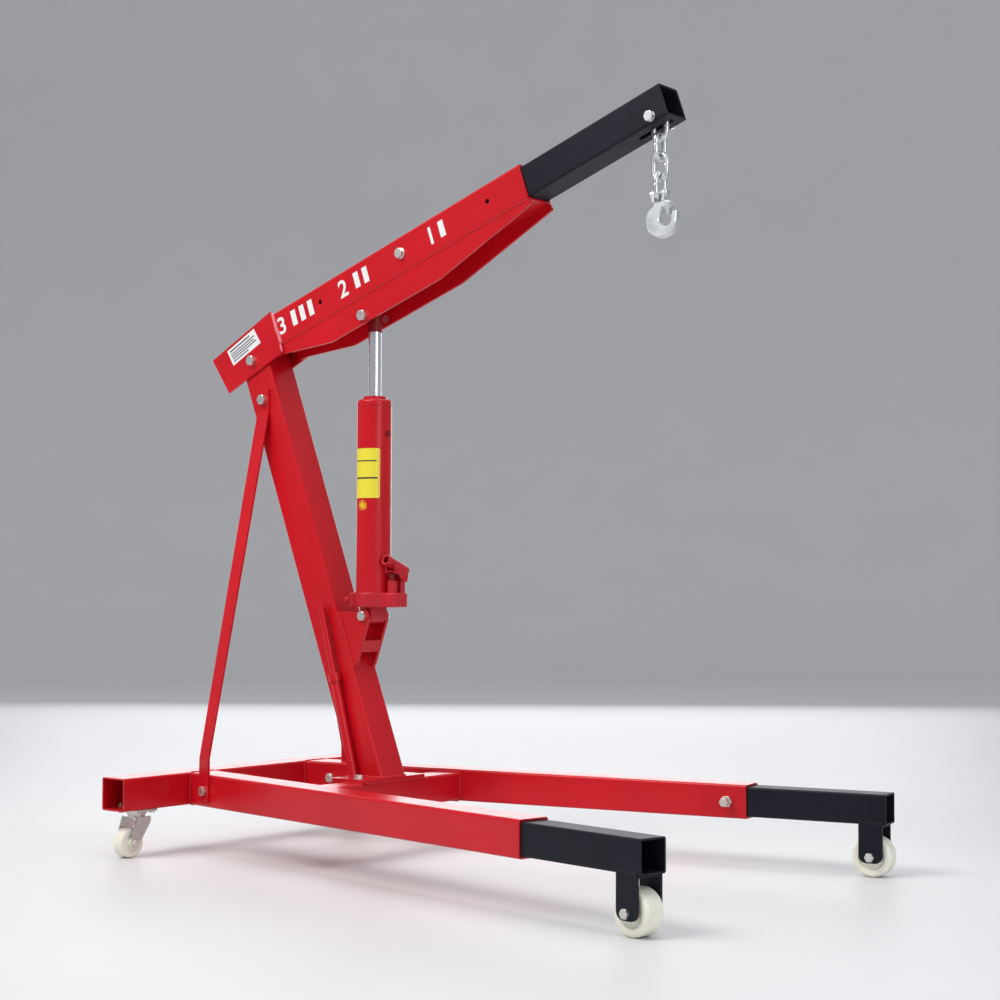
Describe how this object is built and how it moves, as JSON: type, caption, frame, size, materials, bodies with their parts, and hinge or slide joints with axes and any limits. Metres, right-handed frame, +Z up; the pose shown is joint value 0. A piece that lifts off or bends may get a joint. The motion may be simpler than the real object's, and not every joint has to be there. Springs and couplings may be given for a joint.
{
  "type": "engine hoist crane",
  "caption": "Workshop engine hoist: splayed legs on casters, leaning mast with braces, hydraulic ram, telescoping boom with chain and safety hook.",
  "frame": {"origin": "on the floor at the middle of the footprint's bounding box", "axes": "+Z up, +X towards the open ends of the legs and the hook, +Y to the left of somebody standing behind the crane and looking along +X"},
  "size_m": [1.6988, 1.0552, 1.7772],
  "materials": {
    "red_paint": "gloss",
    "black_paint": "satin",
    "zinc_plate": "zinc plated",
    "nylon": "satin",
    "chain_zinc": "bright zinc",
    "chrome": "polished",
    "dark_red_paint": "satin",
    "bare_steel": "ground"
  },
  "bodies": {
    "frame": {"rear_cross_tube": "red_paint", "left_leg_tube": "red_paint", "right_leg_tube": "red_paint", "front_cross_tube": "red_paint", "mast_base_plate": "red_paint", "mast_post": "red_paint", "mast_pivot_sleeve": "bare_steel", "mast_braces": "red_paint", "frame_bolts": "zinc_plate", "ram_bracket": "red_paint", "ram_lower_bolt": "zinc_plate", "handle_holder": "red_paint", "caster_top_plates": "zinc_plate", "caster_kingpins": "zinc_plate", "caster_plate_bolts": "zinc_plate"},
    "left_clamp": {"left_clamp_screw": "zinc_plate"},
    "right_clamp": {"right_clamp_screw": "zinc_plate"},
    "handle": {"pump_handle": "red_paint"},
    "left_extension": {"left_leg_extension": "black_paint", "left_wheel_fork": "black_paint", "left_wheel_axle": "zinc_plate"},
    "right_extension": {"right_leg_extension": "black_paint", "right_wheel_fork": "black_paint", "right_wheel_axle": "zinc_plate"},
    "left_front_roller": {"left_front_wheel": "nylon"},
    "right_front_roller": {"right_front_wheel": "nylon"},
    "left_caster": {"left_caster_fork": "zinc_plate", "left_caster_axle": "zinc_plate"},
    "right_caster": {"right_caster_fork": "zinc_plate", "right_caster_axle": "zinc_plate"},
    "left_rear_roller": {"left_rear_wheel": "nylon"},
    "right_rear_roller": {"right_rear_wheel": "nylon"},
    "boom": {"boom_tube": "red_paint", "boom_side_plates": "red_paint", "boom_bracket": "red_paint", "boom_pivot_bolt": "zinc_plate", "ram_upper_bolt": "zinc_plate"},
    "boom_lock": {"boom_lock_screw": "zinc_plate"},
    "boom_inner": {"boom_extension": "black_paint", "chain_bolt": "zinc_plate"},
    "link_1": {"chain_link_1": "chain_zinc"},
    "link_2": {"chain_link_2": "chain_zinc"},
    "link_3": {"chain_link_3": "chain_zinc"},
    "link_4": {"chain_link_4": "chain_zinc"},
    "hook": {"hook_body": "chain_zinc", "hook_pin": "zinc_plate"},
    "latch": {"hook_latch": "zinc_plate"},
    "ram": {"ram_cylinder": "red_paint", "ram_inner_tube": "bare_steel", "ram_base": "red_paint", "ram_gland": "red_paint", "filler_plug": "red_paint", "pump_cylinder": "red_paint"},
    "piston_rod": {"ram_rod": "chrome", "ram_rod_end": "dark_red_paint", "ram_piston": "bare_steel"},
    "lever": {"pump_lever": "red_paint", "pump_lever_pins": "red_paint"},
    "plunger": {"pump_plunger": "dark_red_paint"},
    "valve": {"release_valve": "red_paint"}
  },
  "joints": [
    {"name": "boom_pivot", "type": "hinge", "parent": "frame", "child": "boom", "pos_m": [-0.70136, 0, 1.24606], "axis": [0, -1, 0], "range_deg": [-25, 30]},
    {"name": "ram_swing", "type": "hinge", "parent": "frame", "child": "ram", "pos_m": [-0.3194, 0, 0.589], "axis": [0, -1, 0], "range_deg": [-3.3, 4]},
    {"name": "ram_stroke", "type": "slide", "parent": "ram", "child": "piston_rod", "axis": [0, 0, 1], "range_m": [-0.162, 0.194]},
    {"name": "boom_extension_slide", "type": "slide", "parent": "boom", "child": "boom_inner", "axis": [0.9426, 0, 0.3338], "range_m": [-0.286, 0.286]},
    {"name": "boom_lock_turn", "type": "hinge", "parent": "boom", "child": "boom_lock", "pos_m": [-0.19688, -0.05, 1.47493], "axis": [0, -1, 0], "range_deg": [-180, 180]},
    {"name": "left_leg_slide", "type": "slide", "parent": "frame", "child": "left_extension", "axis": [0.9833, 0.1822, 0], "range_m": [-0.25, 0.15]},
    {"name": "left_front_wheel_spin", "type": "hinge", "parent": "left_extension", "child": "left_front_roller", "pos_m": [0.79988, 0.48359, 0.047], "axis": [-0.1822, 0.9833, 0], "continuous": true},
    {"name": "left_caster_swivel", "type": "hinge", "parent": "frame", "child": "left_caster", "pos_m": [-0.7504, 0.383, 0.105], "axis": [0, 0, 1], "continuous": true},
    {"name": "left_rear_wheel_spin", "type": "hinge", "parent": "left_caster", "child": "left_rear_roller", "pos_m": [-0.7504, 0.409, 0.0365], "axis": [1, 0, 0], "continuous": true},
    {"name": "left_clamp_turn", "type": "hinge", "parent": "frame", "child": "left_clamp", "pos_m": [0.47075, 0.37174, 0.156], "axis": [0.1822, -0.9833, 0], "range_deg": [-180, 180]},
    {"name": "right_leg_slide", "type": "slide", "parent": "frame", "child": "right_extension", "axis": [0.9833, -0.1822, 0], "range_m": [-0.25, 0.15]},
    {"name": "right_front_wheel_spin", "type": "hinge", "parent": "right_extension", "child": "right_front_roller", "pos_m": [0.79988, -0.48359, 0.047], "axis": [-0.1822, -0.9833, 0], "continuous": true},
    {"name": "right_caster_swivel", "type": "hinge", "parent": "frame", "child": "right_caster", "pos_m": [-0.7504, -0.383, 0.105], "axis": [0, 0, 1], "continuous": true},
    {"name": "right_rear_wheel_spin", "type": "hinge", "parent": "right_caster", "child": "right_rear_roller", "pos_m": [-0.7504, -0.409, 0.0365], "axis": [1, 0, 0], "continuous": true},
    {"name": "right_clamp_turn", "type": "hinge", "parent": "frame", "child": "right_clamp", "pos_m": [0.47075, -0.37174, 0.156], "axis": [0.1822, 0.9833, 0], "range_deg": [-180, 180]},
    {"name": "handle_pull", "type": "slide", "parent": "frame", "child": "handle", "axis": [-0.2672, 0, 0.9636], "range_m": [0, 0.25]},
    {"name": "chain_swing_1", "type": "hinge", "parent": "boom_inner", "child": "link_1", "pos_m": [0.53009, 0, 1.70478], "axis": [0, 1, 0], "range_deg": [-23, 23]},
    {"name": "chain_swing_2", "type": "hinge", "parent": "link_1", "child": "link_2", "pos_m": [0.53009, 0, 1.66108], "axis": [1, 0, 0], "range_deg": [-35, 35]},
    {"name": "chain_swing_3", "type": "hinge", "parent": "link_2", "child": "link_3", "pos_m": [0.53009, 0, 1.61638], "axis": [0, 1, 0], "range_deg": [-28, 28]},
    {"name": "chain_swing_4", "type": "hinge", "parent": "link_3", "child": "link_4", "pos_m": [0.53009, 0, 1.57168], "axis": [1, 0, 0], "range_deg": [-35, 35]},
    {"name": "hook_swing", "type": "hinge", "parent": "link_4", "child": "hook", "pos_m": [0.53009, 0, 1.53828], "axis": [1, 0, 0], "range_deg": [-45, 45]},
    {"name": "hook_latch_open", "type": "hinge", "parent": "hook", "child": "latch", "pos_m": [0.55509, 0, 1.51228], "axis": [0, 1, 0], "range_deg": [0, 45], "stiffness_Nm_per_rad": 0.05, "springref_deg": -17.19},
    {"name": "pump_lever_swing", "type": "hinge", "parent": "ram", "child": "lever", "pos_m": [-0.2574, 0.03, 0.681], "axis": [1, 0, 0], "range_deg": [-20, 30]},
    {"name": "pump_plunger_stroke", "type": "slide", "parent": "ram", "child": "plunger", "axis": [0, 0, 1], "range_m": [-0.0165, 0.011]},
    {"name": "release_valve_turn", "type": "hinge", "parent": "ram", "child": "valve", "pos_m": [-0.3614, -0.04284, 0.6285], "axis": [-0.7001, -0.7141, 0], "range_deg": [-90, 90]}
  ],
  "couplings": [
    {"joint": "ram_swing", "follows": "boom_pivot", "ratio": 0.13},
    {"joint": "ram_stroke", "follows": "boom_pivot", "m_per_rad": 0.367},
    {"joint": "pump_plunger_stroke", "follows": "pump_lever_swing", "m_per_rad": -0.031}
  ]
}
